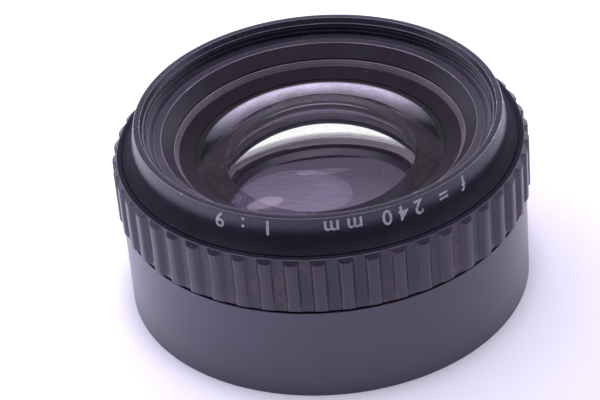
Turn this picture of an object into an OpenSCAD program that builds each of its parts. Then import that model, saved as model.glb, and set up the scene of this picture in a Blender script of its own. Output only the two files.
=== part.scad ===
// Enlarger lens in barrel: a long-focus, symmetrical lens of two cemented triplets around an iris.
// It stands on its rear face at Z = 0, with the optical axis on +Z and the index side on +Y.

/* [Barrel] */
// Radius of the plain rear sleeve
sleeve_r = 30.42; // [30.2:0.02:30.8]
// Height of the plain rear sleeve
sleeve_h = 14.8; // [14.7:0.05:14.9]
// Radius of the neck that the aperture ring turns on
neck_r = 28.2; // [28:0.05:28.3]
// Height of the neck's top face
neck_top = 23.5; // [23.4:0.05:23.6]
// Radius of the chamber that holds the iris
chamber_r = 25.2; // [25.1:0.05:25.4]

/* [Aperture ring] */
// Radius over the ribs
rib_r = 31; // [30.8:0.05:31.4]
// Height of the taper at the lower ends of the ribs
foot_h = 0.85; // [0.75:0.05:0.95]
// Depth of the grooves between the ribs
groove_depth = 0.75; // [0.4:0.05:1]
// Number of ribs
rib_count = 50; // [40:1:60]
// Width of a groove, in degrees
groove_angle = 3.5; // [2.5:0.1:4.5]
// Gap between the sleeve and the ring
ring_gap = 0.4; // [0.3:0.05:0.5]
// Top of the ring
ring_top = 24.3; // [24.2:0.05:24.4]
// Turn of the ring from full aperture to the smallest, in degrees
ring_travel = 60; // [40:1:62]

/* [Front] */
// Overall height, to the top of the front rim
total_h = 29.3; // [29.2:0.05:29.6]
// Crest radius of the filter thread
filter_r = 25.65; // [25.5:0.05:25.7]
// Pitch of the filter thread
filter_pitch = 0.75; // [0.5:0.25:0.75]
// Height of the ledge at the foot of the filter thread
ledge_z = 26.55; // [26.45:0.05:26.6]

/* [Glass] */
// Radius of curvature of the outer faces
outer_curve = 47; // [46.5:0.1:50]
// Radius of curvature of the faces next to the iris
inner_curve = 36; // [36:0.5:40]
// Height of the front vertex
front_vertex = 26.5; // [26.4:0.05:26.6]
// Height of the plane that the two glass groups mirror about
mirror_z = 14.1; // [14.1:0.05:14.15]

/* [Iris] */
// Number of blades, one node each
blade_count = 8; // [8:1:8]
// Radius of the full aperture
stop_r = 12.7; // [12:0.1:12.8]
// Radius of the circle of pivots
pivot_r = 22; // [21.8:0.1:22.1]
// Swing of a blade over the ring's whole travel, in degrees
blade_swing = 29.2; // [24:0.1:29.2]
// Thickness of a blade
blade_t = 0.12; // [0.08:0.01:0.14]

/* [Hidden] */

$fn = 180;
// Overshoot that keeps cuts clean
eps = 0.01;
// Angle of the side that carries the index and the screws
index_angle = 90;

// Clearances
run_fit = 0.06;
thread_fit = 0.05;
pin_fit = 0.04;

// Barrel interior, from the rear
rear_bore_r = 27.25;
rear_step_z = 7.7;
mid_bore_r = 25;
shoulder_z = 11.8;
shoulder_r = 21;
plate_seat_z = 12.75;
front_bore_z = 18.6;
front_bore_r = 27;

// Iris stack
plate_t = 0.6;
blade_z = plate_seat_z + plate_t + 0.1;
blade_pitch = 0.2;
pin_r = 0.4;
drive_offset = 11.74;
blade_in_r = 12.9;
blade_out_r = 20.4;
blade_from = -3;
blade_to = 112;
tab_r = 22.95;
tab_to = 14;
spacer_r = 23.6;
spacer_top = 15.02;
cam_z = 15.1;
cam_plate_top = 16.1;
cam_lip_top = 15.4;
cam_step_r = 18.45;
cam_rim_r = 23.2;
cam_rim_top = 17.7;
cam_r = chamber_r - 0.08;
drive_pin_top = 15.95;
cam_clearance = 0.06;
cam_steps = 24;

// Drive screw through the neck
screw_z = 16.8;
screw_r = 0.75;
screw_angle = index_angle + 0.4;
slot_half_h = 0.9;
slot_margin = 3.2;

// Snap ring above the cam ring
snap_z = 17.85;
snap_h = 0.3;
snap_groove = 0.05;
snap_out_r = 25.5;
snap_in_r = 24.5;
snap_gap_angle = 14;

// Glass groups
group_t = 8.5;
interface_curve = 400;
interface_drop = 5.2;
cement_curve = 45;
cement_drop = 6.6;
outer_glass_r = 19.5;
middle_glass_r = 17.4;
inner_glass_r = 13;
glass_fit = 0.05;
face_step = 1;
cell_wall = 0.75;
seat_z = 21.67;
bore_top_z = 22.5;
tube_end_z = 15.85;
clear_r = 18.75;
retainer_r = 22.35;
retainer_top = 24.45;

// Front cell
bevel_foot = [27.9, 26.4];
bevel_head = [27.35, 29.1];
flange_r = 29.4;
flange_z = 24.43;
fillet_r = 1.8;
baffle_r = 24.65;
baffle_seat_z = 25.2;

// Lock screws
lock_r = 0.7;
front_lock_z = 21.2;
rear_lock_z = 4.2;

function arc(cx, cz, r, a0, a1, n) =
    [for (i = [0:n]) let (a = a0 + (a1 - a0) * i / n) [cx + r * cos(a), cz + r * sin(a)]];

// Fall of a spherical face of radius c at distance r from the axis
function sag(c, r) = c - sqrt(c * c - r * r);

// Half outline of a spherical face from the axis to radius r; side is 1 where the rim is lower.
// Its points are at whole steps of the radius, so two cemented faces match.
function face(z, c, r, side) = concat(
    [for (i = [0:ceil(r / face_step) - 1]) [i * face_step, z - side * sag(c, i * face_step)]],
    [[r, z - side * sag(c, r)]]);

function reversed(list) = [for (i = [len(list) - 1:-1:0]) list[i]];

// Mirrors a part of the front half into the rear half
module rear_half() {
    translate([0, 0, 2 * mirror_z])
        mirror([0, 0, 1])
            children();
}

// Outer element: strongly curved air face, weak rear face
module outer_element() {
    rotate_extrude()
        polygon(concat(
            face(front_vertex - interface_drop, interface_curve, outer_glass_r, -1),
            reversed(face(front_vertex, outer_curve, outer_glass_r, 1))));
}

// Middle element: cemented on both faces
module middle_element() {
    rotate_extrude()
        polygon(concat(
            face(front_vertex - cement_drop, cement_curve, middle_glass_r, 1),
            reversed(face(front_vertex - interface_drop, interface_curve, middle_glass_r, -1))));
}

// Inner element: meniscus that faces the iris
module inner_element() {
    rotate_extrude()
        polygon(concat(
            face(front_vertex - group_t, inner_curve, inner_glass_r, 1),
            reversed(face(front_vertex - cement_drop, cement_curve, inner_glass_r, 1))));
}

// Threaded ring that clamps a glass group
module retaining_ring() {
    lip_z = front_vertex - sag(outer_curve, clear_r) + 0.02;
    rotate_extrude()
        polygon([
            [clear_r, lip_z],
            [retainer_r, lip_z],
            [retainer_r, retainer_top],
            [21.6, retainer_top],
            [21, 23.5],
            [clear_r, lip_z + 0.15]]);
}

// Bore outline that seats a glass group, shared by both cells, up to the retaining ring's thread
function seat_outline() = [
    [middle_glass_r + glass_fit, tube_end_z],
    [middle_glass_r + glass_fit, seat_z],
    [outer_glass_r + glass_fit, seat_z],
    [outer_glass_r + glass_fit, bore_top_z],
    [retainer_r + thread_fit, bore_top_z]];

// Annular crests and grooves of the filter thread, from the ledge upwards
function filter_outline() = [
    for (k = [0:1])
        let (z = ledge_z + 0.25 + k * filter_pitch)
            each [[filter_r, z], [filter_r + 0.32, z + 0.25], [filter_r, z + 0.5]]];

module front_cell() {
    r_low = front_bore_r - thread_fit;
    tube_r = middle_glass_r + glass_fit + cell_wall;
    color("#3b3846")
        difference() {
            rotate_extrude()
                polygon(concat(
                    seat_outline(),
                    [[retainer_r + thread_fit, baffle_seat_z],
                        [baffle_r + thread_fit, baffle_seat_z],
                        [baffle_r + thread_fit, ledge_z],
                        [filter_r, ledge_z]],
                    filter_outline(),
                    [[filter_r, 28.3], [26, 28.45], [26.35, total_h],
                        [bevel_head[0] - 0.15, total_h], bevel_head, bevel_foot],
                    arc(bevel_foot[0] + fillet_r, flange_z + fillet_r - 0.03, fillet_r, 184, 259, 9),
                    [[flange_r, flange_z], [flange_r, neck_top],
                        [r_low, neck_top], [r_low, front_bore_z + 0.3],
                        [tube_r, front_bore_z + 0.3], [tube_r, tube_end_z]]));
            lock_places()
                translate([front_bore_r - 1.2, 0, front_lock_z])
                    rotate([0, 90, 0])
                        cylinder(r = lock_r, h = 3, $fn = 32);
        }
}

module front_baffle() {
    color("#26232d")
        rotate_extrude()
            polygon([
                [baffle_r, baffle_seat_z],
                [baffle_r, ledge_z],
                [23.45, ledge_z],
                [23.35, ledge_z - 0.1],
                [21.65, retainer_top + 0.05],
                [retainer_r, retainer_top + 0.05],
                [retainer_r, baffle_seat_z]]);
}

module front_retaining_ring() {
    color("#6d6879")
        retaining_ring();
}

module rear_retaining_ring() {
    color("#26232d")
        rear_half()
            retaining_ring();
}

module rear_cell() {
    tube_r = middle_glass_r + glass_fit + cell_wall;
    flange_top = 2 * mirror_z - rear_step_z;
    face_z = 2 * mirror_z - 0.8;
    rim_r = rear_bore_r - thread_fit;
    color("#3b3846")
        difference() {
            rear_half()
                rotate_extrude()
                    polygon(concat(
                        seat_outline(),
                        [[retainer_r + thread_fit, 25], [23.9, face_z],
                            [rim_r - 0.4, face_z], [rim_r, face_z - 0.4],
                            [rim_r, flange_top], [tube_r + 1.2, flange_top],
                            [tube_r, flange_top - 1.2], [tube_r, tube_end_z]]));
            // Two spanner notches in the rear face
            for (a = [0, 180])
                rotate([0, 0, a])
                    translate([24.6, -0.8, -eps])
                        cube([1.7, 1.6, 1.9]);
            rotate([0, 0, index_angle])
                translate([rim_r - 1.2, 0, rear_lock_z])
                    rotate([0, 90, 0])
                        cylinder(r = lock_r, h = 3, $fn = 32);
        }
}

// Places of the three lock screws of the front cell, clear of the drive screw's slot
module lock_places() {
    for (k = [0:2])
        rotate([0, 0, index_angle - 30 + 120 * k])
            children();
}

module socket_screw(r, length) {
    // Headless screw along +X with a driver slot in its outer end
    difference() {
        rotate([0, 90, 0])
            cylinder(r = r, h = length, $fn = 32);
        translate([length - 0.4, -0.12, -r - eps])
            cube([0.4 + eps, 0.24, 2 * r + 2 * eps]);
    }
}

module front_lock_screws() {
    color("#8b8792")
        lock_places()
            translate([front_bore_r - 1.2, 0, front_lock_z])
                socket_screw(lock_r, neck_r - front_bore_r + 1);
}

module rear_lock_screw() {
    start = rear_bore_r - thread_fit - 1.2;
    color("#8b8792")
        rotate([0, 0, index_angle])
            translate([start, 0, rear_lock_z])
                socket_screw(lock_r, sleeve_r - start - 0.35);
}

// Cut for the drive screw's travel, with a little room at both ends
module screw_slot() {
    rotate([0, 0, screw_angle - slot_margin])
        rotate_extrude(angle = ring_travel + 2 * slot_margin)
            translate([chamber_r - 1, screw_z - slot_half_h])
                square([neck_r - chamber_r + 2, 2 * slot_half_h]);
}

module barrel() {
    edge = 0.15;
    snap_low = snap_z - snap_groove;
    snap_high = snap_z + snap_h + snap_groove;
    color("#4a4656")
        difference() {
            rotate_extrude()
                polygon([
                    [rear_bore_r + 0.2, 0],
                    [sleeve_r - edge, 0],
                    [sleeve_r, edge],
                    [sleeve_r, sleeve_h - edge],
                    [sleeve_r - edge, sleeve_h],
                    [neck_r, sleeve_h],
                    [neck_r, neck_top],
                    [front_bore_r, neck_top],
                    [front_bore_r, front_bore_z],
                    [chamber_r, front_bore_z],
                    [chamber_r, snap_high],
                    [snap_out_r + 0.05, snap_high],
                    [snap_out_r + 0.05, snap_low],
                    [chamber_r, snap_low],
                    [chamber_r, plate_seat_z],
                    [shoulder_r, plate_seat_z],
                    [shoulder_r, shoulder_z],
                    [mid_bore_r, shoulder_z],
                    [mid_bore_r, rear_step_z],
                    [rear_bore_r, rear_step_z],
                    [rear_bore_r, 0.2]]);
            screw_slot();
            lock_places()
                translate([front_bore_r - 1, 0, front_lock_z])
                    rotate([0, 90, 0])
                        cylinder(r = lock_r, h = 3, $fn = 32);
            rotate([0, 0, index_angle])
                translate([rear_bore_r - 1, 0, rear_lock_z])
                    rotate([0, 90, 0])
                        cylinder(r = lock_r, h = 5, $fn = 32);
            iris_screw_places()
                translate([0, 0, shoulder_z - 1])
                    cylinder(r = iris_screw_r, h = 3, $fn = 32);
        }
}

// A groove as a four-sided cut, a little wider at its mouth
module groove() {
    floor_r = rib_r - groove_depth;
    mouth_r = rib_r + 0.5;
    a = groove_angle / 2;
    polygon([
        [floor_r * cos(a), floor_r * sin(a)],
        [mouth_r * cos(a + 0.25), mouth_r * sin(a + 0.25)],
        [mouth_r * cos(a + 0.25), -mouth_r * sin(a + 0.25)],
        [floor_r * cos(a), -floor_r * sin(a)]]);
}

module aperture_ring() {
    bore_r = neck_r + run_fit;
    low = sleeve_h + ring_gap;
    land_top = ring_top - 0.6;
    pitch = 360 / rib_count;
    dot_r = rib_r - index_dot_depth;
    color("#4a4656")
        difference() {
            rotate_extrude()
                polygon([
                    [bore_r, low],
                    [rib_r - 0.95, low],
                    [rib_r, low + foot_h],
                    [rib_r, land_top],
                    [rib_r - 0.7, ring_top],
                    [flange_r + 0.05, ring_top],
                    [flange_r + 0.05, neck_top - 0.3],
                    [bore_r, neck_top - 0.3]]);
            for (k = [0:rib_count - 1])
                rotate([0, 0, screw_angle + k * pitch])
                    translate([0, 0, low - eps])
                        linear_extrude(height = ring_top - low)
                            groove();
            rotate([0, 0, screw_angle])
                translate([bore_r - 1, 0, screw_z])
                    rotate([0, 90, 0])
                        cylinder(r = screw_r, h = 6, $fn = 32);
            rotate([0, 0, index_dot_angle])
                translate([dot_r, 0, index_dot_z])
                    rotate([0, 90, 0])
                        cylinder(r = index_dot_r, h = 2, $fn = 32);
        }
}

// Painted index dot, sunk in the land beside the drive screw
index_dot_r = 0.55;
index_dot_depth = 0.35;
index_dot_z = sleeve_h + ring_gap + foot_h + 0.8;
index_dot_angle = screw_angle - 180 / rib_count;

module ring_index_dot() {
    color("white")
        rotate([0, 0, index_dot_angle])
            translate([rib_r - index_dot_depth, 0, index_dot_z])
                rotate([0, 90, 0])
                    cylinder(r = index_dot_r, h = index_dot_depth - 0.08, $fn = 32);
}

module wave_washer() {
    color("#a8a4a0")
        translate([0, 0, neck_top - 0.25])
            difference() {
                cylinder(r = flange_r - 0.2, h = 0.25);
                translate([0, 0, -eps])
                    cylinder(r = neck_r + 0.3, h = 1);
            }
}

module drive_screw() {
    color("#8b8792")
        rotate([0, 0, screw_angle])
            translate([cam_rim_r + 0.2, 0, screw_z])
                socket_screw(screw_r, rib_r - groove_depth - 0.15 - cam_rim_r - 0.2);
}

// Point of the circle of pivots at angle a
function on_pivots(a) = pivot_r * [cos(a), sin(a)];

function turned(p, a) = [p[0] * cos(a) - p[1] * sin(a), p[0] * sin(a) + p[1] * cos(a)];

// Place of the drive pin of the blade that pivots at angle 0, once the blade has swung by s
function drive_pin_at(s) = on_pivots(0) + turned(on_pivots(drive_offset) - on_pivots(0), s);

// The same place seen from the cam ring, at fraction t of the travel
function cam_point(t) = turned(drive_pin_at(blade_swing * t), -ring_travel * t);

// Offset point of the cam path; side is 1 or -1
function cam_edge(t, side) =
    let (step = 0.002)
    let (d = cam_point(t + step) - cam_point(t - step))
    let (w = side * (pin_r + cam_clearance) / norm(d))
    cam_point(t) + w * [-d[1], d[0]];

module cam_slot() {
    linear_extrude(height = 1.4)
        polygon(concat(
            [for (i = [0:cam_steps]) cam_edge(i / cam_steps, 1)],
            [for (i = [cam_steps:-1:0]) cam_edge(i / cam_steps, -1)]));
    for (t = [0, 1])
        translate(cam_point(t))
            cylinder(r = pin_r + cam_clearance, h = 1.4, $fn = 32);
}

module iris_cam_ring() {
    color("#57545c")
        difference() {
            rotate_extrude()
                polygon([
                    [stop_r, cam_z],
                    [cam_r, cam_z],
                    [cam_r, cam_rim_top],
                    [cam_rim_r, cam_rim_top],
                    [cam_rim_r, cam_plate_top],
                    [cam_step_r, cam_plate_top],
                    [cam_step_r, cam_lip_top],
                    [stop_r, cam_z + 0.15]]);
            for (k = [0:blade_count - 1])
                rotate([0, 0, 360 / blade_count * k])
                    translate([0, 0, cam_z - 0.2])
                        cam_slot();
            rotate([0, 0, screw_angle])
                translate([cam_rim_r - 1, 0, screw_z])
                    rotate([0, 90, 0])
                        cylinder(r = screw_r, h = 4, $fn = 32);
        }
}

module iris_snap_ring() {
    color("#a8a4a0")
        rotate([0, 0, index_angle + 180 + snap_gap_angle / 2])
            translate([0, 0, snap_z])
                rotate_extrude(angle = 360 - snap_gap_angle)
                    translate([snap_in_r, 0])
                        square([snap_out_r - snap_in_r, snap_h]);
}

// Places of the three screws through the spacer and the base plate, between pivots
iris_screw_r = 0.4;
iris_screw_circle = 24.4;

module iris_screw_places() {
    for (k = [0:2])
        rotate([0, 0, 22.5 + 135 * k])
            translate([iris_screw_circle, 0, 0])
                children();
}

module iris_screws() {
    length = spacer_top - 0.02 - shoulder_z - 0.3;
    color("#8b8792")
        iris_screw_places()
            translate([0, 0, shoulder_z + 0.3])
                difference() {
                    union() {
                        cylinder(r = iris_screw_r, h = length, $fn = 32);
                        translate([0, 0, length - 0.35])
                            cylinder(r = 0.65, h = 0.35, $fn = 32);
                    }
                    translate([-1, -0.08, length - 0.2])
                        cube([2, 0.16, 1]);
                }
}

module iris_spacer_ring() {
    low = plate_seat_z + plate_t;
    color("#57545c")
        translate([0, 0, low])
            difference() {
                cylinder(r = chamber_r - 0.05, h = spacer_top - low);
                translate([0, 0, -eps])
                    cylinder(r = spacer_r, h = 4);
                iris_screw_places() {
                    translate([0, 0, -eps])
                        cylinder(r = iris_screw_r, h = 4, $fn = 32);
                    translate([0, 0, spacer_top - low - 0.39])
                        cylinder(r = 0.65, h = 1, $fn = 32);
                }
            }
}

module iris_base_plate() {
    color("#57545c")
        translate([0, 0, plate_seat_z])
            difference() {
                cylinder(r = chamber_r - 0.05, h = plate_t);
                translate([0, 0, -eps])
                    cylinder(r = stop_r, h = 1);
                for (k = [0:blade_count - 1])
                    rotate([0, 0, 360 / blade_count * k])
                        translate([pivot_r, 0, -eps])
                            cylinder(r = pin_r + pin_fit, h = 1, $fn = 32);
                iris_screw_places()
                    translate([0, 0, -eps])
                        cylinder(r = iris_screw_r, h = 1, $fn = 32);
            }
}

// Sector of a ring, as an outline
function sector(r0, r1, a0, a1, n) = concat(arc(0, 0, r1, a0, a1, n), arc(0, 0, r0, a1, a0, n));

// One blade with its pivot pin below and its drive pin above; k counts from 0
module iris_blade(k) {
    z = blade_z + k * blade_pitch;
    pivot_end = plate_seat_z + 0.1;
    color("#2f2d33")
        rotate([0, 0, 360 / blade_count * k]) {
            translate([0, 0, z])
                linear_extrude(height = blade_t)
                    union() {
                        polygon(sector(blade_in_r, blade_out_r, blade_from, blade_to, 28));
                        polygon(sector(blade_out_r - 1, tab_r, blade_from, tab_to, 6));
                    }
            translate([pivot_r, 0, pivot_end])
                cylinder(r = pin_r, h = z + blade_t - pivot_end, $fn = 32);
            translate(concat(on_pivots(drive_offset), [z]))
                cylinder(r = pin_r, h = drive_pin_top - z, $fn = 32);
        }
}

module glass_color() {
    color("#c9b8d6", 0.5)
        children();
}

barrel();
front_cell();
front_baffle();
front_retaining_ring();
glass_color() outer_element();  // front_outer_element
glass_color() middle_element();  // front_middle_element
glass_color() inner_element();  // front_inner_element
aperture_ring();
ring_index_dot();
wave_washer();
drive_screw();
iris_cam_ring();
iris_snap_ring();
iris_spacer_ring();
iris_base_plate();
iris_screws();
iris_blade(0);  // iris_blade_1
iris_blade(1);  // iris_blade_2
iris_blade(2);  // iris_blade_3
iris_blade(3);  // iris_blade_4
iris_blade(4);  // iris_blade_5
iris_blade(5);  // iris_blade_6
iris_blade(6);  // iris_blade_7
iris_blade(7);  // iris_blade_8
rear_cell();
rear_retaining_ring();
glass_color() rear_half() outer_element();  // rear_outer_element
glass_color() rear_half() middle_element();  // rear_middle_element
glass_color() rear_half() inner_element();  // rear_inner_element
front_lock_screws();
rear_lock_screw();
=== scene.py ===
"""Looks of the enlarger lens: finely turned shells, ribbed ring, glass, markings, floor and light."""

import math

import bpy
from mathutils import Matrix, Vector


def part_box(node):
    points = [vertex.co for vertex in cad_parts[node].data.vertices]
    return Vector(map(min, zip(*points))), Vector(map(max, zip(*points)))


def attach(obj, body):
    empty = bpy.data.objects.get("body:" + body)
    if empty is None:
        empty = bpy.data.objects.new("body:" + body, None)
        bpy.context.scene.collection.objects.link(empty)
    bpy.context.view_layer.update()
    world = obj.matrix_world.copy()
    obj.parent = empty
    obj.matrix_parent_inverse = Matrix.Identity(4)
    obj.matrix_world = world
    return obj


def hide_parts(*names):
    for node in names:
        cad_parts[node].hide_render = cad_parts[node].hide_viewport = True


MM = 0.001
SEGMENTS = 288
UP = Vector((0, 0, 1))

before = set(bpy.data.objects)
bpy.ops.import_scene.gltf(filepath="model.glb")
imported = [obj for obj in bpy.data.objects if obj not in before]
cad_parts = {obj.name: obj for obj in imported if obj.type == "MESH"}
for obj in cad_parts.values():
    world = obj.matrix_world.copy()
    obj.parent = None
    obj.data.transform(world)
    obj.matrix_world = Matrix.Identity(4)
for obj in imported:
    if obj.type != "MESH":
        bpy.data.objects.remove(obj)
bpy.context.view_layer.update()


# ---------------------------------------------------------------- sizes, in mm

def corners(node):
    """Lowest and highest corner of a CAD node, to the nearest micrometre."""
    return [[round(v / MM, 3) for v in corner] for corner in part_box(node)]


def middle_height(node):
    """Height of the middle of a CAD node."""
    low, high = corners(node)
    return (low[2] + high[2]) / 2


SLEEVE_R, _, NECK_TOP = corners("barrel")[1]
SLEEVE_H = 14.8
NECK_R = 28.2

RING_LOW = corners("aperture_ring")[0][2]
RIB_R, _, RING_TOP = corners("aperture_ring")[1]
GROOVE_R = 30.25
CHAMFER_Z = 23.7

# End of the tube that holds the inner element, outer radius of the shelf, top of the rim
TUBE_END = corners("front_cell")[0][2]
SHELF_R, _, RIM_TOP = corners("front_cell")[1]
FILTER_R = 25.65

# Outer radius of the lens elements, the front glass's outermost point, and the plane that the
# rear half mirrors the front half in
GLASS_R = {kind: corners(f"front_{kind}_element")[1][0] for kind in ("outer", "middle", "inner")}
FRONT_VERTEX = corners("front_outer_element")[1][2]
MIRROR_Z = (FRONT_VERTEX + corners("rear_outer_element")[0][2]) / 2


# ---------------------------------------------------------------- outlines

def rounded(points):
    """Closed outline with its corners rounded. A point is (r, z) or (r, z, radius), in mm."""
    made = []
    count = len(points)
    for i, point in enumerate(points):
        here = Vector(point[:2])
        radius = point[2] if len(point) > 2 else 0
        before = Vector(points[i - 1][:2]) - here
        after = Vector(points[(i + 1) % count][:2]) - here
        turn = before.angle(after)
        if radius <= 0 or turn > math.radians(178):
            made.append(here)
            continue
        reach = min(radius / math.tan(turn / 2), before.length * 0.49, after.length * 0.49)
        start = here + before.normalized() * reach
        end = here + after.normalized() * reach
        steps = 4
        for k in range(steps + 1):
            t = k / steps
            made.append(start * (1 - t) ** 2 + here * 2 * t * (1 - t) + end * t ** 2)
    return made


def arc(cr, cz, radius, start, end, steps):
    """Points of an arc in the (r, z) plane, angles in degrees."""
    angles = [math.radians(start + (end - start) * k / steps) for k in range(steps + 1)]
    return [(cr + radius * math.cos(a), cz + radius * math.sin(a)) for a in angles]


def sag(curve, r):
    """Fall of a spherical face of that radius of curvature at distance r from the axis."""
    return curve - math.sqrt(curve * curve - r * r)


def face(z, curve, r, side, steps=40):
    """Half outline of a spherical face from the axis to radius r, rim lower where side is 1."""
    return [(r * k / steps, z - side * sag(curve, r * k / steps)) for k in range(steps + 1)]


# ---------------------------------------------------------------- meshes

def mesh_object(name, verts, faces, materials, indices=None, smooth=True):
    """Object from vertices in mm, linked to the scene."""
    mesh = bpy.data.meshes.new(name)
    mesh.from_pydata([(x * MM, y * MM, z * MM) for x, y, z in verts], [], faces)
    for material in materials:
        mesh.materials.append(material)
    if indices:
        mesh.polygons.foreach_set("material_index", indices)
    mesh.polygons.foreach_set("use_smooth", [smooth] * len(faces))
    mesh.validate()
    made = bpy.data.objects.new(name, mesh)
    bpy.context.scene.collection.objects.link(made)
    return made


def lathe(name, outline, materials, pick=None, strips=None, radius_at=None, segments=SEGMENTS):
    """Closed solid of revolution about Z from a closed (r, z) outline that runs counter-clockwise.

    Points on the axis become one vertex. strips lists the material index of every strip of the
    outline, or pick(r, z) gives it. radius_at(r, z, angle) may move a point in or out."""
    rows, verts = [], []
    for r, z in outline:
        if r < 1e-6:
            rows.append([len(verts)] * segments)
            verts.append((0, 0, z))
            continue
        rows.append(list(range(len(verts), len(verts) + segments)))
        for k in range(segments):
            a = 2 * math.pi * k / segments
            reach = radius_at(r, z, a) if radius_at else r
            verts.append((reach * math.cos(a), reach * math.sin(a), z))
    faces, indices = [], []
    for i, row in enumerate(rows):
        other = rows[(i + 1) % len(rows)]
        (r0, z0), (r1, z1) = outline[i], outline[(i + 1) % len(rows)]
        if r0 < 1e-6 and r1 < 1e-6:
            continue
        index = strips[i] if strips else pick((r0 + r1) / 2, (z0 + z1) / 2) if pick else 0
        for k in range(segments):
            n = (k + 1) % segments
            corners = [row[k], row[n], other[n], other[k]]
            faces.append([c for j, c in enumerate(corners) if c != corners[j - 1]])
            indices.append(index)
    return mesh_object(name, verts, faces, materials, indices)


def final_mesh(piece):
    """The object's mesh with its modifiers applied."""
    bpy.context.view_layer.update()
    return bpy.data.meshes.new_from_object(piece.evaluated_get(bpy.context.evaluated_depsgraph_get()))


def cut_out(piece, cutters):
    """Takes the cutters away from the piece, and removes them."""
    for cutter in cutters:
        modifier = piece.modifiers.new("cut", "BOOLEAN")
        modifier.operation = "DIFFERENCE"
        modifier.solver = "EXACT"
        modifier.object = cutter
    mesh = final_mesh(piece)
    piece.modifiers.clear()
    piece.data = mesh
    for cutter in cutters:
        bpy.data.objects.remove(cutter)
    return piece


def flat_shading(piece):
    """Keeps the broad faces flat and lets only the rounded edges turn the light."""
    modifier = piece.modifiers.new("normals", "WEIGHTED_NORMAL")
    modifier.weight = 80
    return piece


def fit_in(piece, body, slot, *nodes):
    """Rides the piece on a body, in place of CAD nodes."""
    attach(piece, body)
    if nodes:
        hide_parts(*nodes)
    return piece


# ---------------------------------------------------------------- material graphs

class Tree:
    """Short way to put nodes into a node tree."""

    def __init__(self, tree):
        self.nodes = tree.nodes
        self.links = tree.links

    def put(self, socket, value):
        """Links a socket to another, or sets its own value."""
        if isinstance(value, bpy.types.NodeSocket):
            self.links.new(value, socket)
        else:
            socket.default_value = value

    def math(self, operation, a, b=0.0, clamp=False):
        """Result of a Math node."""
        node = self.nodes.new("ShaderNodeMath")
        node.operation = operation
        node.use_clamp = clamp
        self.put(node.inputs[0], a)
        self.put(node.inputs[1], b)
        return node.outputs[0]

    def product(self, first, *others):
        """All the values multiplied."""
        for other in others:
            first = self.math("MULTIPLY", first, other)
        return first

    def ramp(self, value, low, high, out_low=0.0, out_high=1.0):
        """Smooth step from out_low where the value is low to out_high where it is high."""
        node = self.nodes.new("ShaderNodeMapRange")
        node.interpolation_type = "SMOOTHSTEP"
        for name, v in (("Value", value), ("From Min", low), ("From Max", high),
                        ("To Min", out_low), ("To Max", out_high)):
            self.put(node.inputs[name], v)
        return node.outputs[0]

    def mix(self, factor, a, b):
        """Colour from a where the factor is 0 to b where it is 1."""
        node = self.nodes.new("ShaderNodeMix")
        node.data_type = "RGBA"
        self.put(node.inputs[0], factor)
        self.put(node.inputs[6], (*a, 1) if isinstance(a, tuple) else a)
        self.put(node.inputs[7], (*b, 1) if isinstance(b, tuple) else b)
        return node.outputs[2]

    def split(self, vector):
        """The X, Y and Z outputs of a vector."""
        node = self.nodes.new("ShaderNodeSeparateXYZ")
        self.links.new(vector, node.inputs[0])
        return node.outputs

    def join(self, factor, first, second):
        """Shader that goes from the first to the second."""
        node = self.nodes.new("ShaderNodeMixShader")
        self.put(node.inputs[0], factor)
        self.links.new(first.outputs[0], node.inputs[1])
        self.links.new(second.outputs[0], node.inputs[2])
        return node


class Graph(Tree):
    """Node material with a Principled shader."""

    def __init__(self, name):
        self.material = bpy.data.materials.new(name)
        self.material.use_nodes = True
        super().__init__(self.material.node_tree)
        self.nodes.clear()
        self.out = self.nodes.new("ShaderNodeOutputMaterial")
        self.shader = self.nodes.new("ShaderNodeBsdfPrincipled")
        self.show(self.shader)
        self.place = self.nodes.new("ShaderNodeTexCoord").outputs["Object"]

    def show(self, shader):
        """Makes the shader the one that the surface has."""
        self.links.new(shader.outputs[0], self.out.inputs["Surface"])

    def set(self, **values):
        """Sets sockets of the Principled shader, named with _ for a space."""
        for name, value in values.items():
            self.put(self.shader.inputs[name.replace("_", " ")], value)
        return self

    def noise(self, scale, detail=3.0, rough=0.6, stretch=(1, 1, 1), offset=(0, 0, 0)):
        """Noise whose features are about 1000 / scale mm across."""
        mapping = self.nodes.new("ShaderNodeMapping")
        mapping.inputs["Scale"].default_value = stretch
        mapping.inputs["Location"].default_value = offset
        self.links.new(self.place, mapping.inputs["Vector"])
        node = self.nodes.new("ShaderNodeTexNoise")
        self.links.new(mapping.outputs[0], node.inputs["Vector"])
        node.inputs["Scale"].default_value = scale
        node.inputs["Detail"].default_value = detail
        node.inputs["Roughness"].default_value = rough
        return node.outputs["Fac"]

    def specks(self, scale, size, keep):
        """Mask of small round specks: size is their share of a cell, keep the share of cells that has one."""
        node = self.nodes.new("ShaderNodeTexVoronoi")
        node.inputs["Scale"].default_value = scale
        self.links.new(self.place, node.inputs["Vector"])
        near = self.math("LESS_THAN", node.outputs["Distance"], size)
        colour = self.nodes.new("ShaderNodeSeparateColor")
        self.links.new(node.outputs["Color"], colour.inputs[0])
        return self.product(near, self.math("LESS_THAN", colour.outputs[0], keep))

    def axis(self, name):
        """One coordinate, in mm."""
        return self.product(self.split(self.place)[name], 1 / MM)

    def reach(self):
        """Distance from the optical axis, in mm."""
        x, y, _ = self.split(self.place)
        square = self.math("ADD", self.product(x, x), self.product(y, y))
        return self.product(self.math("SQRT", square), 1 / MM)

    def bump(self, height, strength, distance):
        """Adds a bump of that depth in mm to the ones already there."""
        node = self.nodes.new("ShaderNodeBump")
        node.inputs["Strength"].default_value = strength
        node.inputs["Distance"].default_value = distance * MM
        self.put(node.inputs["Height"], height)
        previous = self.shader.inputs["Normal"].links
        if previous:
            self.links.new(previous[0].from_socket, node.inputs["Normal"])
        self.links.new(node.outputs[0], self.shader.inputs["Normal"])
        return self


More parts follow.
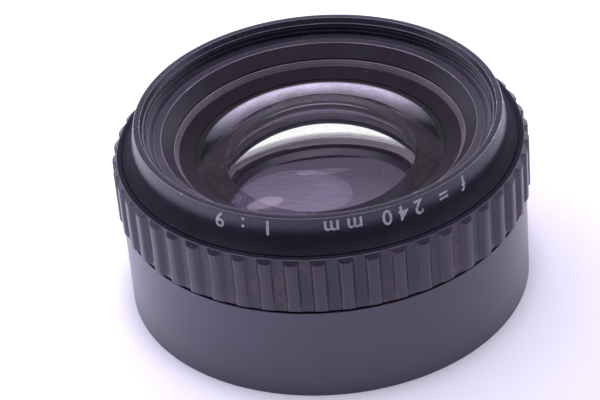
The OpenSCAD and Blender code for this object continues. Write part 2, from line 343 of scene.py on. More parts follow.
def near_edge(g, reach, height, edge, width):
    """1 on the edge circle (radius, height), falling to 0 at width, in mm."""
    dr, dz = (g.math("SUBTRACT", here, there) for here, there in zip((reach, height), edge))
    square = g.math("ADD", g.product(dr, dr), g.product(dz, dz))
    return g.ramp(g.math("SQRT", square), 0.0, width, 1.0, 0.0)


def groove_dirt(g, colour, reach, height, amount):
    """The ring's colour darkened in its grooves as painted shade, with dark, patchy dirt there too, and paler
    walls beside them as painted light.
    """
    below_top = g.ramp(height, CHAMFER_Z + 0.2, CHAMFER_Z + 0.45, 1.0, 0.0)
    in_groove = g.product(g.ramp(reach, GROOVE_R + 0.05, GROOVE_R + 0.35, 1.0, 0.0), below_top)
    # Near black deep in the grooves: painted shade.
    colour = g.mix(g.product(in_groove, amount), colour, (0.008, 0.006, 0.008))
    patches = g.ramp(g.noise(110, 5, 0.7, offset=(0.3, 0.1, 0)), 0.53, 0.66)
    colour = g.mix(g.product(patches, in_groove), colour, (0.062, 0.03, 0.034))
    # Paler walls beside the grooves: painted light against their shade.
    wall = g.product(g.ramp(reach, GROOVE_R + 0.04, GROOVE_R + 0.2),
                     g.ramp(reach, RIB_R - 0.25, RIB_R - 0.06, 1.0, 0.0),
                     g.ramp(height, CHAMFER_Z - 0.15, CHAMFER_Z - 0.02, 1.0, 0.0))
    return g.mix(wall, colour, (0.055, 0.048, 0.066))


def chipped(g, reach, height, edges):
    """Mask of the places where the edges are chipped to bare metal."""
    metal = 0.0
    ragged = g.ramp(g.noise(1300, 4, 0.75), 0.35, 0.75)
    sparse = g.ramp(g.noise(260, 3), 0.5, 0.72)
    for *edge, width, amount in edges:
        near = near_edge(g, reach, height, edge, width)
        chip = g.product(near, g.math("ADD", g.product(sparse, 0.7), amount))
        metal = g.math("MAXIMUM", metal, g.ramp(g.product(chip, ragged), 0.22, 0.34))
    return metal


def anodised(name, base, rough, edges=(), lines=(), turned=0.0, grooves=0.0, dust=0.15, ior=1.62, fade=None):
    """Satin black anodised metal: fine grain, turning marks and dust.

    edges are chipped to bare metal in places, and lines are edges with pale lines all round, partly wear and
    partly painted highlight.
    Each is (radius, height, width, amount). grooves darkens the ring's grooves as painted shade, pales their
    walls as painted light, and dirties them.
    fade is (radius, low, high): outside that radius the sheen falls from full at the height high to
    nothing at the height low."""
    g = Graph(name)
    cloud = g.noise(90, 4)
    fine = g.noise(2600, 2)
    reach, height = g.reach(), g.axis("Z")
    colour = g.mix(g.ramp(cloud, 0.3, 0.75), tuple(c * 0.85 for c in base), tuple(c * 1.15 for c in base))
    if grooves:
        colour = groove_dirt(g, colour, reach, height, grooves)
    speck = g.product(g.specks(1500, 0.16, dust), g.ramp(g.noise(70, 3), 0.45, 0.7))
    colour = g.mix(g.product(speck, 0.35), colour, (0.32, 0.3, 0.33))
    roughness = g.ramp(g.math("ADD", g.product(cloud, 0.7), g.product(fine, 0.3)),
                       0.25, 0.75, rough * 0.9, rough * 1.12)
    # Pale lines round edges: partly wear, partly painted highlight.
    for *edge, width, amount in lines:
        wear_and_highlight = g.ramp(g.noise(60, 3), 0.3, 0.7, amount * 0.5, amount)
        line = g.product(near_edge(g, reach, height, edge, width), wear_and_highlight)
        colour = g.mix(line, colour, (0.42, 0.39, 0.47))
    if edges:
        metal = chipped(g, reach, height, edges)
        colour = g.mix(metal, colour, (0.6, 0.58, 0.63))
        g.set(Metallic=metal)
    g.set(Base_Color=colour, Roughness=roughness, IOR=ior, Specular_Tint=(0.86, 0.8, 1.0, 1))
    if fade:
        radius, low, high = fade
        dull = g.product(g.math("GREATER_THAN", reach, radius), g.ramp(height, low, high, 0.5, 0.0))
        g.set(Specular_IOR_Level=g.math("SUBTRACT", 0.5, dull))
    g.bump(fine, 0.2, 0.005)
    if turned:
        rings = g.math("SINE", g.product(g.math("ADD", reach, height), 52.0))
        g.bump(g.product(rings, g.noise(300, 2)), turned, 0.004)
    return g.material


GLASS_INDEX = 1.85


def glass_face(name, tint, haze, coat, span=(0.15, 0.5), kept=(1.0, 0.12)):
    """Polished face of a lens next to air, with haze and dust by noise.

    A coating takes part of the mirror image off: kept is how much of it stays at the two ends
    of the range span of Layer Weight's facing."""
    g = Graph(name)
    cloud = g.ramp(g.noise(120, 5, 0.65), 0.35, 0.75, haze * 0.4, haze)
    dust = g.specks(900, 0.1, 0.06)
    rough = g.math("ADD", g.product(cloud, 0.35), g.product(dust, 0.5))
    g.set(Base_Color=(*tint, 1), Transmission_Weight=1.0, IOR=GLASS_INDEX, Roughness=rough,
          Specular_Tint=(*coat, 1))
    clear = g.nodes.new("ShaderNodeBsdfRefraction")
    clear.inputs["IOR"].default_value = GLASS_INDEX
    clear.inputs["Roughness"].default_value = 0.0
    facing = g.nodes.new("ShaderNodeLayerWeight").outputs["Facing"]
    coated = g.join(g.ramp(facing, *span, *kept), clear, g.shader)
    film = g.nodes.new("ShaderNodeBsdfDiffuse")
    film.inputs["Color"].default_value = (0.55, 0.5, 0.62, 1)
    g.show(g.join(g.math("ADD", cloud, g.product(dust, 0.35), clamp=True), coated, film))
    return g.material


def cemented_face(name):
    """Face where two elements are cemented: light passes straight on, with a trace of haze."""
    g = Graph(name)
    g.set(Base_Color=(0.3, 0.28, 0.33, 1), Roughness=0.6)
    clear = g.nodes.new("ShaderNodeBsdfTransparent")
    clear.inputs["Color"].default_value = (0.985, 0.98, 0.985, 1)
    g.show(g.join(g.ramp(g.noise(200, 4), 0.4, 0.8, 0.0, 0.012), clear, g.shader))
    return g.material


def painted_edge(name):
    """Blackened rim of a lens element, with a faint glow that is painted light."""
    g = Graph(name)
    grain = g.noise(1800, 3)
    colour = g.mix(g.ramp(grain, 0.3, 0.7), (0.02, 0.017, 0.024), (0.045, 0.038, 0.052))
    # Faint emission: painted light.
    g.set(Base_Color=colour, Roughness=0.7, Emission_Color=(1.0, 0.85, 1.15, 1), Emission_Strength=0.012)
    g.bump(grain, 0.4, 0.015)
    return g.material


def ground_rim(name, low_z, high_z, low, high):
    """Ground rim of a lens element. A little emission stands in for the light that the glass
    gathers on it: low at the height low_z and high at high_z, and only on the +Y side."""
    g = Graph(name)
    behind = g.ramp(g.axis("Y"), 6.5, 17.5, 0.02, 1.0)
    level = g.ramp(g.axis("Z"), low_z, high_z, low, high)
    grain = g.ramp(g.noise(2200, 4, 0.8), 0.35, 0.7, 0.7, 1.2)
    cloud = g.ramp(g.noise(260, 4, 0.7), 0.3, 0.7, 0.8, 1.15)
    glow = g.product(g.product(behind, level), g.product(grain, cloud))
    g.set(Base_Color=(0.25, 0.23, 0.29, 1), Roughness=0.8, Emission_Color=(0.84, 0.76, 1.05, 1),
          Emission_Strength=glow)
    return g.material


def plain_metal(name, base, rough, metallic=1.0, grain=1400, lit=0.0):
    """Turned or rolled metal with a fine grain and uneven tarnish. lit is a little emission
    that stands in for the light the glass lets in."""
    g = Graph(name)
    fine = g.noise(grain, 3)
    colour = g.mix(g.ramp(g.noise(140, 4), 0.3, 0.75), tuple(c * 0.7 for c in base), base)
    g.set(Base_Color=colour, Metallic=metallic, Roughness=g.ramp(fine, 0.3, 0.7, rough * 0.8, rough * 1.25))
    if lit:
        g.set(Emission_Color=(1.0, 0.87, 1.15, 1), Emission_Strength=lit)
    g.bump(fine, 0.3, 0.008)
    return g.material


def enamel(name):
    """White enamel pressed into an engraved mark, worn thin in places."""
    g = Graph(name)
    worn = g.ramp(g.noise(1300, 4, 0.7), 0.42, 0.72)
    g.set(Base_Color=g.mix(worn, (0.45, 0.43, 0.48), (0.24, 0.225, 0.26)), Roughness=0.55)
    g.bump(g.noise(2600, 2), 0.3, 0.01)
    return g.material


BLACK = (0.03, 0.025, 0.042)

# Edges that are chipped, and edges with pale lines that are partly wear and partly painted highlight:
# (radius, height, width, amount)
RIM_EDGES = [(27.3, 29.22, 0.17, 0.34), (26.37, 29.28, 0.15, 0.34), (26.0, 28.42, 0.12, 0.14)]
RIM_LINES = [(27.32, 29.2, 0.14, 0.75), (26.34, 29.28, 0.12, 0.75), (26.0, 28.45, 0.1, 0.5)]
RING_EDGES = [(30.98, 23.72, 0.16, 0.16)]
RING_LINES = [(30.28, 24.3, 0.12, 0.45)]
BAFFLE_EDGES = [(23.4, 26.5, 0.12, 0.3)]
BAFFLE_LINES = [(23.4, 26.53, 0.14, 0.95), (24.62, 26.53, 0.12, 0.6)]
LIP_EDGES = [(21.6, 24.45, 0.12, 0.3)]
LIP_LINES = [(21.6, 24.45, 0.16, 0.9)]

sleeve_black = anodised("sleeve_black", BLACK, 0.3, dust=0.0, ior=1.8)
cell_black = anodised("cell_black", BLACK, 0.27, RIM_EDGES, RIM_LINES, turned=0.15, fade=(27.3, 26.7, 28.5))
# The ring's grooves are darkened as painted shade, with dirt, and their walls paled as painted light.
ring_black = anodised("ring_black", BLACK, 0.3, RING_EDGES, RING_LINES, grooves=0.75, dust=0.1)
# A darker, duller copy of the black for the shelf, the bevel's foot and the ring's top face: painted shade.
shelf_shaded_black = anodised("shelf_shaded_black", (0.026, 0.022, 0.036), 0.5, dust=0.05, ior=1.12)
baffle_black = anodised("baffle_black", (0.034, 0.028, 0.041), 0.36, BAFFLE_EDGES, BAFFLE_LINES,
                        turned=0.2, dust=0.12, ior=1.35)
ledge_black = anodised("ledge_black", (0.06, 0.052, 0.072), 0.4, BAFFLE_EDGES, BAFFLE_LINES,
                       dust=0.12, ior=1.4)
lip_black = anodised("lip_black", (0.13, 0.11, 0.135), 0.4, LIP_EDGES, LIP_LINES, turned=0.3, dust=0.05)
retainer_black = anodised("retainer_black", (0.018, 0.014, 0.02), 0.5, turned=0.3, dust=0.35, ior=1.3)
rear_black = anodised("rear_black", BLACK, 0.33, turned=0.3)

# Each blade takes the light a little differently from its neighbours
blades_black = [plain_metal(f"blade_black_{k}", (0.15, 0.13, 0.15), 0.75, metallic=0.0, grain=900,
                            lit=0.08 + 0.018 * (k * 3 % 4)) for k in range(1, 9)]
steel = plain_metal("steel", (0.5, 0.49, 0.48), 0.3)
brass_black = plain_metal("brass_black", (0.08, 0.062, 0.075), 0.75, metallic=0.0)
white = enamel("white_enamel")

front_glass = glass_face("front_glass", (0.985, 0.975, 0.985), 0.02, (0.85, 0.7, 1.0))
inner_glass = glass_face("inner_glass", (0.985, 0.98, 0.98), 0.006, (0.15, 0.12, 0.13),
                         span=(0.147, 0.152), kept=(0.0, 1.0))
rear_glass = glass_face("rear_glass", (0.985, 0.98, 0.985), 0.01, (0.85, 0.72, 1.0))
cement = cemented_face("cement")
painted_rim = painted_edge("painted_rim")
frosted_rim = ground_rim("frosted_rim", 16.0, 22.0, 0.9, 0.25)
inner_rim = ground_rim("inner_rim", 16.3, 17.9, 0.17, 0.0)


# ---------------------------------------------------------------- turned shells

# Slot that the drive screw runs in: first angle and sweep in degrees
SCREW_Z = middle_height("drive_screw")
SLOT_START, SLOT_SWEEP, SLOT_HALF_H = 87.2, 66.4, 0.9

REAR_LOCK_Z, REAR_LOCK_HOLE_R = middle_height("rear_lock_screw"), 0.72


def slot_cutter():
    """Curved block for the slot, from the iris's chamber to outside the neck."""
    steps = 48
    inside, outside = 24.6, NECK_R + 0.6
    low, high = SCREW_Z - SLOT_HALF_H, SCREW_Z + SLOT_HALF_H
    verts = []
    for k in range(steps + 1):
        a = math.radians(SLOT_START + SLOT_SWEEP * k / steps)
        verts += [(r * math.cos(a), r * math.sin(a), z)
                  for r, z in ((inside, low), (outside, low), (outside, high), (inside, high))]
    faces = [[4 * k + j, 4 * k + 4 + j, 4 * k + 4 + (j + 1) % 4, 4 * k + (j + 1) % 4]
             for k in range(steps) for j in range(4)]
    faces += [[0, 1, 2, 3], [4 * steps + j for j in (3, 2, 1, 0)]]
    return mesh_object("slot_cutter", verts, faces, [sleeve_black])


def lock_hole_cutter():
    """Rod along +Y for the rear lock screw's hole."""
    steps = 32
    turns = [2 * math.pi * k / steps for k in range(steps)]
    verts = [(REAR_LOCK_HOLE_R * math.cos(a), y, REAR_LOCK_Z + REAR_LOCK_HOLE_R * math.sin(a))
             for y in (26.8, 31.2) for a in turns]
    faces = [[k, steps + k, steps + (k + 1) % steps, (k + 1) % steps] for k in range(steps)]
    faces += [list(range(steps)), list(reversed(range(steps, 2 * steps)))]
    return mesh_object("lock_hole_cutter", verts, faces, [sleeve_black])


def build_barrel():
    """Sleeve and neck, with the bores that hold the cells and the iris.

    The sleeve is a little higher than in CAD, so that the seam under the ring is a thin line."""
    top = SLEEVE_H + 0.2
    outline = rounded([
        (27.45, 0, 0.06), (SLEEVE_R, 0, 0.18), (SLEEVE_R, top, 0.12),
        (NECK_R, top), (NECK_R, NECK_TOP, 0.1), (27, NECK_TOP, 0.1), (27, 18.6),
        (25.2, 18.6, 0.1), (25.2, 12.75), (21, 12.75, 0.1), (21, 11.8, 0.1),
        (25, 11.8), (25, 7.7, 0.1), (27.25, 7.7), (27.25, 0.2, 0.06)])
    barrel = cut_out(lathe("barrel_shell", outline, [sleeve_black]), [slot_cutter(), lock_hole_cutter()])
    fit_in(flat_shading(barrel), "barrel", "black_anodised", "barrel")


THREAD_LOW, THREAD_HIGH, THREAD_PITCH, THREAD_DEPTH = 26.62, 28.38, 0.75, 0.32
LEDGE_Z = 26.55


def thread_radius(r, z, angle):
    """Cuts the helical filter thread into the wall inside the rim."""
    if abs(r - FILTER_R) > 0.01 or not THREAD_LOW < z < THREAD_HIGH:
        return r
    phase = (z / THREAD_PITCH - angle / (2 * math.pi)) % 1.0
    groove = max(0.0, 1 - abs(phase - 0.5) / 0.36)
    fade = min(1.0, (z - THREAD_LOW) / 0.15, (THREAD_HIGH - z) / 0.15)
    return r + THREAD_DEPTH * groove * fade


def seat_outline():
    """Bore that seats a glass group, from its tube's inner end to the retaining ring's thread."""
    return [(17.45, TUBE_END, 0.05), (17.45, 21.67), (19.55, 21.67), (19.55, 22.5), (22.4, 22.5)]


def build_front_cell():
    """Front cell: seat, ledge, helical thread, rim, name bevel, fillet and shelf."""
    rows = 44
    wall_low, wall_high = 26.6, 28.36
    wall = [(FILTER_R, wall_low + (wall_high - wall_low) * k / rows) for k in range(rows + 1)]
    outline = rounded(
        seat_outline()
        + [(22.4, 25.2), (24.7, 25.2), (24.7, LEDGE_Z, 0.05), (FILTER_R, LEDGE_Z)]
        + wall
        + [(26.0, 28.45, 0.06), (26.35, RIM_TOP, 0.08), (27.2, RIM_TOP, 0.08), (27.35, 29.1, 0.1),
           (27.8, 26.9), (27.9, 26.4, 0.3)]
        + arc(29.7, 26.2, 1.8, 184, 259, 14)
        + [(SHELF_R, 24.43, 0.06), (SHELF_R, NECK_TOP), (26.95, NECK_TOP), (26.95, 18.9), (18.2, 18.9),
           (18.2, TUBE_END, 0.05)])
    # The shelf and the bevel's foot take the darker copy of the black: painted shade.
    cell = lathe("front_cell_shell", outline, [cell_black, shelf_shaded_black], radius_at=thread_radius,
                 pick=lambda r, z: int(r > 27.8 and z < 26.75))
    fit_in(flat_shading(cell), "barrel", "black_anodised", "front_cell")


def build_front_baffle():
    """Funnel ring inside the ledge."""
    outline = rounded([
        (24.65, 25.2), (24.65, LEDGE_Z, 0.06), (23.42, LEDGE_Z, 0.06), (23.28, 26.3, 0.06),
        (21.7, 24.75, 0.1), (21.65, 24.5, 0.02), (22.35, 24.5), (22.35, 25.2)])
    baffle = lathe("front_baffle_ring", outline, [baffle_black, ledge_black],
                   pick=lambda r, z: int(z > LEDGE_Z - 0.1))
    fit_in(flat_shading(baffle), "barrel", "satin_black_ring", "front_baffle")


def retainer_outline():
    """Section of the ring that clamps a glass group."""
    return rounded([
        (18.75, 22.69, 0.02), (22.35, 22.69), (22.35, 24.45, 0.08), (21.6, 24.45, 0.06),
        (21.42, 24.12, 0.04), (21.3, 24.12, 0.04), (21.16, 23.8, 0.04), (21.06, 23.8, 0.04),
        (21, 23.5, 0.06), (18.75, 22.83, 0.05)])


def mirrored(outline):
    """The same section in the rear half, still counter-clockwise."""
    return [(r, 2 * MIRROR_Z - z) for r, z in reversed(outline)]


def build_retainers():
    """The rings that clamp the front and the rear glass."""
    front = lathe("front_retaining_ring_turned", retainer_outline(), [retainer_black, lip_black],
                  pick=lambda r, z: int(r > 21 and z > 23.5))
    fit_in(flat_shading(front), "barrel", "satin_black_ring", "front_retaining_ring")
    rear = lathe("rear_retaining_ring_turned", mirrored(retainer_outline()), [rear_black])
    fit_in(flat_shading(rear), "barrel", "satin_black_ring", "rear_retaining_ring")


# ---------------------------------------------------------------- ribbed ring

RIBS = 50
FIRST_GROOVE = 90.4
GROOVE_HALF = 1.75


def rib_profile():
    """One pitch of the ring's outline as (angle in degrees, radius), from the middle of a groove.

    The groove's wall curves up to a slightly crowned land."""
    pitch = 360 / RIBS
    half_land = pitch / 2 - GROOVE_HALF
    points = [(0, GROOVE_R), (GROOVE_HALF * 0.55, GROOVE_R + 0.005)]
    points += [(GROOVE_HALF + a, GROOVE_R + rise) for a, rise in
               ((-0.6, 0.03), (-0.34, 0.1), (-0.1, 0.25))]
    points += [(GROOVE_HALF + a, RIB_R - fall) for a, fall in
               ((0.12, 0.3), (0.3, 0.17), (0.55, 0.08), (0.9, 0.03))]
    points += [(GROOVE_HALF + half_land * 0.7, RIB_R - 0.006), (pitch / 2, RIB_R)]
    return points + [(pitch - a, r) for a, r in reversed(points[1:-1])]


def build_ring():
    """Aperture ring. Each column of the grid meets the chamfer and the foot's cone exactly."""
    low, top = RING_LOW, RING_TOP
    shoulder = 30.3
    foot_r, foot_top, foot_rise = 30.3, 15.28, 0.46
    bore_r, step_r, step_z = 28.26, 29.45, 23.2
    slope = (RIB_R - shoulder) / (top - CHAMFER_Z)
    columns = [(math.radians(FIRST_GROOVE + k * 360 / RIBS + a), r)
               for k in range(RIBS) for a, r in rib_profile()]
    verts, rows = [], 0
    for angle, r in columns:
        meet = min(CHAMFER_Z + (RIB_R - r) / slope, top - 0.05)
        above = max(top - meet, 0.05)
        spring = foot_top + 0.05 + foot_rise * max(0.0, r - foot_r) / (RIB_R - foot_r)
        # From the foot up to the land, over the chamfer's rounded edge, to the top face
        outer = [(foot_r - 0.2, low), (foot_r - 0.1, low + 0.02), (min(r, foot_r), foot_top)]
        outer += [(r - 0.02, spring - 0.02), (r, spring + 0.05)]
        outer += [(r, spring + (meet - 0.12 - spring) * t) for t in (0.25, 0.5, 0.75)]
        outer += [(r, meet - 0.09), (r - 0.02, meet)]
        outer += [(r - slope * min(above, 0.09), meet + min(above, 0.09) * 0.9)]
        outer += [(min(r, shoulder), top - 0.03), (min(r, shoulder) - 0.05, top)]
        inner = [(step_r + 0.05, top), (step_r, top - 0.05), (step_r, step_z)]
        inner += [(bore_r, step_z), (bore_r, low)]
        section = outer + inner
        rows = len(section)
        verts += [(q * math.cos(angle), q * math.sin(angle), z) for q, z in section]
    count = len(columns)
    faces = [[i * rows + j, ((i + 1) % count) * rows + j,
              ((i + 1) % count) * rows + (j + 1) % rows, i * rows + (j + 1) % rows]
             for i in range(count) for j in range(rows)]
    # The last six strips are the top face, the step and the bore; they take the darker copy of the black, as
    # painted shade
    top_strip = rows - 6
    indices = [int(j >= top_strip) for i in range(count) for j in range(rows)]
    ring = mesh_object("aperture_ring_ribbed", verts, faces, [ring_black, shelf_shaded_black], indices)
    fit_in(flat_shading(ring), "aperture_ring", "black_anodised", "aperture_ring")


DOT_ANGLE, DOT_R = 86.8, 0.55
DOT_Z = middle_height("ring_index_dot")


def build_index_dot():
    """Enamel index dot on the land beside the drive screw."""
    steps = 40
    angle = math.radians(DOT_ANGLE)
    out = Vector((math.cos(angle), math.sin(angle), 0))
    along = Vector((-math.sin(angle), math.cos(angle), 0))
    verts = []
    for share, reach in ((1.0, RIB_R - 0.1), (1.0, RIB_R - 0.01), (0.85, RIB_R + 0.015)):
        for k in range(steps):
            a = 2 * math.pi * k / steps
            verts.append(tuple(out * reach + along * (DOT_R * share * math.cos(a))
                               + UP * (DOT_Z + DOT_R * share * math.sin(a))))
    faces = [[row * steps + k, row * steps + (k + 1) % steps,
              (row + 1) * steps + (k + 1) % steps, (row + 1) * steps + k]
             for row in range(2) for k in range(steps)]
    faces += [list(reversed(range(steps))), list(range(2 * steps, 3 * steps))]
    dot = mesh_object("index_dot_enamel", verts, faces, [white])
    fit_in(flat_shading(dot), "aperture_ring", "white_paint", "ring_index_dot")


# ---------------------------------------------------------------- rear cell

def build_rear_cell():
    """Rear cell, seen when the lens is turned over: flat face, cone and seat."""
    top = 2 * MIRROR_Z
    outline = rounded(
        seat_outline()
        + [(22.4, 25), (23.9, top - 0.8, 0.1), (26.8, top - 0.8, 0.1), (27.2, top - 1.2, 0.1),
           (27.2, top - 7.7), (19.4, top - 7.7), (18.2, top - 8.9), (18.2, TUBE_END, 0.05)])
    cell = lathe("rear_cell_turned", mirrored(outline), [rear_black])
    fit_in(flat_shading(cell), "barrel", "black_anodised", "rear_cell")


# ---------------------------------------------------------------- glass

# The element that is cemented to the rear face of each one, or itself where there is none
NEXT_INWARDS = {"outer": "middle", "middle": "inner", "inner": "inner"}

# Faces of the front half's elements: height on the axis, radius of curvature, and 1 where the rim
# is lower than the middle or -1 where it is higher
OUTER_FRONT = (FRONT_VERTEX, 47.0, 1)
OUTER_BACK = (FRONT_VERTEX - 5.2, 400.0, -1)
MIDDLE_BACK = (FRONT_VERTEX - 6.6, 45.0, 1)
INNER_BACK = (FRONT_VERTEX - 8.5, 36.0, 1)


def element(half, kind, upper, lower, faces, bare, rim):
    """One lens element between two faces. faces are the materials of its upper and lower face, bare
    that of the part of its lower face that has no neighbour, and rim that of its rim."""
    radius, polished = GLASS_R[kind], GLASS_R[NEXT_INWARDS[kind]]
    z, curve, side = lower
    bottom = face(z, curve, polished, side)
    joined = len(bottom) - 1
    if polished < radius:
        bottom += [(r, z - side * sag(curve, r))
                   for r in (polished + (radius - polished) * k / 10 for k in range(1, 11))]
    top = face(upper[0], upper[1], radius, upper[2])
    outline = bottom + top[::-1]
    # Upper face 0, lower face 1, rim 2, bare part of the lower face 3
    strips = [1] * joined + [3] * (len(bottom) - 1 - joined) + [2] + [0] * len(top)
    if half == "rear":
        outline = mirrored(outline)
        strips = strips[-2::-1] + strips[-1:]
    piece = lathe(f"{half}_{kind}_glass", outline, [*faces, rim, bare], strips=strips, segments=192)
    piece.modifiers.new("sharp_rim", "EDGE_SPLIT").split_angle = math.radians(35)
    fit_in(piece, "barrel", "coated_glass", f"{half}_{kind}_element")


def build_glass():
    """Two cemented groups of three, the rear one the mirror image of the front one."""
    for half, air in (("front", front_glass), ("rear", rear_glass)):
        element(half, "outer", OUTER_FRONT, OUTER_BACK, (air, cement), painted_rim, frosted_rim)
        element(half, "middle", OUTER_BACK, MIDDLE_BACK, (cement, cement), inner_glass, frosted_rim)
        element(half, "inner", MIDDLE_BACK, INNER_BACK, (cement, inner_glass), painted_rim, inner_rim)


# ---------------------------------------------------------------- markings

def wrapped_text(name, body, words, height, radius, z, lean, angle, spacing, depth=0.03):
    """Lettering round a cone of that radius at height z, its tops towards the rear.

    lean is how much the radius falls for each mm upwards; angle is the middle of the word."""
    curve = bpy.data.curves.new(name, "FONT")
    curve.body = words
    curve.size = height * 1.4
    curve.space_character = spacing
    curve.align_x = "CENTER"
    curve.align_y = "CENTER"
    curve.extrude = depth / 2
    curve.resolution_u = 6
    curve.offset = height * 0.018
    maker = bpy.data.objects.new(name + "_maker", curve)
    bpy.context.scene.collection.objects.link(maker)
    mesh = final_mesh(maker)
    bpy.data.objects.remove(maker)
    middle, proud = math.radians(angle), 0.012
    for vertex in mesh.vertices:
        x, y, depth_at = vertex.co
        up = -y
        reach = radius - lean * up + depth_at - depth / 2 + proud
        a = middle - x / radius
        vertex.co = (reach * math.cos(a) * MM, reach * math.sin(a) * MM, (z + up) * MM)
    mesh.materials.append(white)
    letters = bpy.data.objects.new(name, mesh)
    bpy.context.scene.collection.objects.link(letters)
    return fit_in(letters, body, "white_paint")


BEVEL_LEAN = 0.55 / 2.7
BEVEL_R, BEVEL_Z = 27.62, 27.78

# The iris: radius when open, radius of the circle of the blades' pivots, turn of a blade for each
# degree of the ring
OPEN_R, PIVOT_R = 12.7, 22.0
BLADE_TURN = 29.2 / 60
WIDEST_STOP = 9


def ring_turn(stop):
    """How far the ring turns from its open end to that f-number, in degrees."""
    opening = OPEN_R * WIDEST_STOP / stop
    return 2 / BLADE_TURN * math.degrees(math.asin((OPEN_R - opening) / (2 * PIVOT_R)))


def build_markings():
    """Focal length and aperture on the bevel, and the aperture scale behind, on the sleeve."""
    bevel = (BEVEL_R, BEVEL_Z, BEVEL_LEAN)
    wrapped_text("bevel_aperture", "barrel", "1 : 9", 2.2, *bevel, 245, 1.55)
    wrapped_text("bevel_focal_length", "barrel", "f = 240 mm", 2.2, *bevel, 292.5, 1.6)
    for stop in (WIDEST_STOP, 11, 16, 22, 32, 45, 64):
        angle = DOT_ANGLE + ring_turn(stop)
        wrapped_text(f"scale_{stop}", "barrel", str(stop), 1.15, SLEEVE_R, 12.6, 0, angle, 1.0)
        wrapped_text(f"scale_mark_{stop}", "barrel", "l", 1.0, SLEEVE_R, 14.2, 0, angle, 1.0)


# ---------------------------------------------------------------- carried CAD nodes

def dress(material, *names):
    """Gives CAD nodes a procedural material."""
    for name in names:
        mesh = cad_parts[name].data
        mesh.materials.clear()
        mesh.materials.append(material)


def dress_inside():
    """Iris, washer and screws keep their CAD shapes."""
    for k, black in enumerate(blades_black, 1):
        dress(black, f"iris_blade_{k}")
    dress(brass_black, "iris_cam_ring", "iris_base_plate", "iris_spacer_ring")
    dress(steel, "wave_washer", "iris_snap_ring", "iris_screws", "front_lock_screws", "rear_lock_screw",
          "drive_screw")


# ---------------------------------------------------------------- floor, light, camera

# Floor glow round the lens and below it: painted light.
FLOOR_PAINTED_GLOW = 0.6
UNDER_LENS_PAINTED_GLOW = 0.1
BACKDROP, SURROUND = (1.25, 1.2, 1.4), (0.1, 0.095, 0.12)


def build_floor():
    """Pale table. Its glow is painted light: strongest towards the lamp, weaker near the lens, and faint
    below it, where its colour is also darker as painted shadow.
    """
    bpy.ops.mesh.primitive_plane_add(size=6, location=(0, 0, 0))
    floor = bpy.context.object
    floor.name = "floor"
    g = Graph("floor_white")
    reach = g.reach()
    # Painted light: the glow is brighter towards the lamp.
    towards_lamp = g.math("SUBTRACT", g.axis("Y"), g.axis("X"))
    glow = g.ramp(towards_lamp, -110.0, 70.0, FLOOR_PAINTED_GLOW * 0.12, FLOOR_PAINTED_GLOW)
    pale = g.mix(g.ramp(g.noise(6, 3), 0.3, 0.7), (0.83, 0.8, 0.87), (0.86, 0.84, 0.9))
    # Below the lens the colour is darker: painted shadow.
    outside = g.ramp(reach, SLEEVE_R - 3, SLEEVE_R)
    # The glow fades near the lens's foot as painted shade, and the faint glow below the lens is painted
    # light.
    lit = g.product(g.ramp(reach, SLEEVE_R - 3, SLEEVE_R + 4), glow)
    g.set(Base_Color=g.mix(outside, (0.3, 0.26, 0.31), pale), Roughness=0.7,
          Emission_Color=g.mix(outside, (1.0, 0.84, 1.3), (0.92, 0.88, 1.12)),
          Emission_Strength=g.math("MAXIMUM", lit, UNDER_LENS_PAINTED_GLOW))
    floor.data.materials.append(g.material)


def build_world():
    """Studio surround: a bright backdrop behind the lens, dark overhead and behind the camera."""
    world = bpy.data.worlds.new("studio")
    bpy.context.scene.world = world
    world.use_nodes = True
    tree = Tree(world.node_tree)
    _, y, z = tree.split(tree.nodes.new("ShaderNodeTexCoord").outputs["Generated"])
    behind_lens = tree.product(tree.ramp(z, 0.6, 0.42), tree.ramp(y, -0.35, 0.05))
    seen = tree.nodes.new("ShaderNodeLightPath").outputs["Is Camera Ray"]
    bright = tree.math("MAXIMUM", behind_lens, seen)
    background = tree.nodes["Background"]
    tree.put(background.inputs["Color"], tree.mix(bright, SURROUND, BACKDROP))
    background.inputs["Strength"].default_value = 1.0


def area_light(name, place, target, size, power, colour):
    """Rectangular light at a place, turned towards the target."""
    data = bpy.data.lights.new(name, "AREA")
    data.shape = "RECTANGLE"
    data.size, data.size_y = size
    data.energy = power
    data.color = colour
    light = bpy.data.objects.new(name, data)
    light.location = place
    light.rotation_euler = (Vector(target) - Vector(place)).to_track_quat("-Z", "Y").to_euler()
    bpy.context.scene.collection.objects.link(light)
    return light


def soft_card(name, place, size, turn, strength, colour, glass_only=False):
    """Glowing card out of shot: a level ellipse that is only reflected, or an upright one that
    is only seen through glass."""
    bpy.ops.mesh.primitive_circle_add(vertices=64, radius=0.5, fill_type="NGON")
    card = bpy.context.object
    card.name = name
    card.scale = (*size, 1)
    card.location = place
    card.rotation_euler = [math.radians(a) for a in turn]
    g = Graph(name + "_cloth")
    streaks = g.ramp(g.noise(5, 5, 0.65, stretch=(1, 4, 1)), 0.32, 0.7, 0.55, 1.35)
    g.set(Base_Color=(0, 0, 0, 1), Roughness=1.0, Emission_Color=(*colour, 1),
          Emission_Strength=strength if glass_only else g.math("MULTIPLY", streaks, strength))
    card.data.materials.append(g.material)
    card.visible_camera = False
    card.visible_diffuse = False
    card.visible_glossy = not glass_only
    card.visible_transmission = glass_only
    card.visible_shadow = False


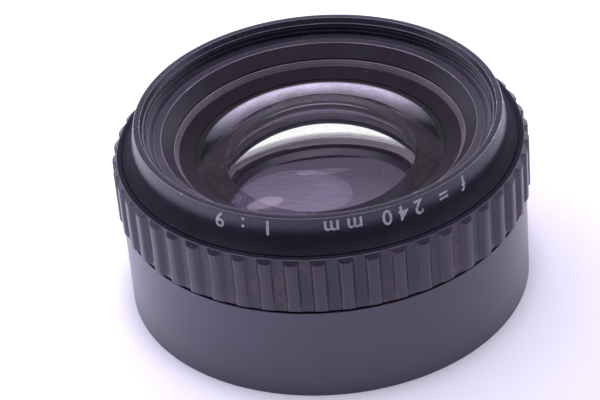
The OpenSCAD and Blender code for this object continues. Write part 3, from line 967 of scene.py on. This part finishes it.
def build_light():
    """Soft light from overhead, and glowing cards for what the glass and the metal mirror."""
    build_world()
    top = area_light("overhead", (0, 0.1, 1.2), (0, 0, 0), (1.6, 1.6), 18, (0.97, 0.94, 1.06))
    top.visible_glossy = False
    lilac = (0.82, 0.79, 1.0)
    soft_card("umbrella", (-0.2, 0.38, 0.92), (0.72, 0.4), (0, 0, -18), 1.3, lilac)
    soft_card("lamp", (-0.32, 0.33, 0.9), (0.22, 0.09), (0, 0, -12), 3.2, (1.0, 0.96, 1.0))
    soft_card("backdrop", (0, 1.5, 0.48), (2.3, 0.5), (90, 0, 0), 1.3, (0.97, 0.98, 1.0), glass_only=True)


def build_camera():
    """Camera at the photograph's angle, with its roll and off-axis aim."""
    distance, elevation = 0.38829, math.radians(36.63)
    roll, yaw, pitch = (math.radians(a) for a in (4.90, -0.562, 1.628))
    centre = Vector((0, -distance * math.cos(elevation), distance * math.sin(elevation)))
    ahead = -centre.normalized()
    right = Vector((1, 0, 0))
    up = right.cross(ahead)
    turned_right = math.cos(yaw) * right - math.sin(yaw) * ahead
    turned_ahead = math.sin(yaw) * right + math.cos(yaw) * ahead
    turned_up = math.cos(pitch) * up - math.sin(pitch) * turned_ahead
    aim = math.sin(pitch) * up + math.cos(pitch) * turned_ahead
    x_axis = math.cos(roll) * turned_right - math.sin(roll) * turned_up
    y_axis = math.sin(roll) * turned_right + math.cos(roll) * turned_up
    data = bpy.data.cameras.new("camera")
    data.lens, data.sensor_width = 151.22, 36
    data.clip_start, data.clip_end = 0.01, 20
    camera = bpy.data.objects.new("camera", data)
    turn = Matrix((x_axis, y_axis, -aim)).transposed()
    camera.matrix_world = Matrix.Translation(centre) @ turn.to_4x4()
    bpy.context.scene.collection.objects.link(camera)
    bpy.context.scene.camera = camera


def colour_settings():
    """Plain colours, and enough bounces for light to pass the glass."""
    scene = bpy.context.scene
    scene.view_settings.view_transform = "Standard"
    scene.view_settings.look = "None"
    scene.cycles.transparent_max_bounces = 24
    scene.cycles.transmission_bounces = 16
    scene.cycles.max_bounces = 20


build_barrel()
build_front_cell()
build_front_baffle()
build_retainers()
build_ring()
build_index_dot()
build_rear_cell()
build_glass()
build_markings()
dress_inside()
build_floor()
build_light()
build_camera()
colour_settings()
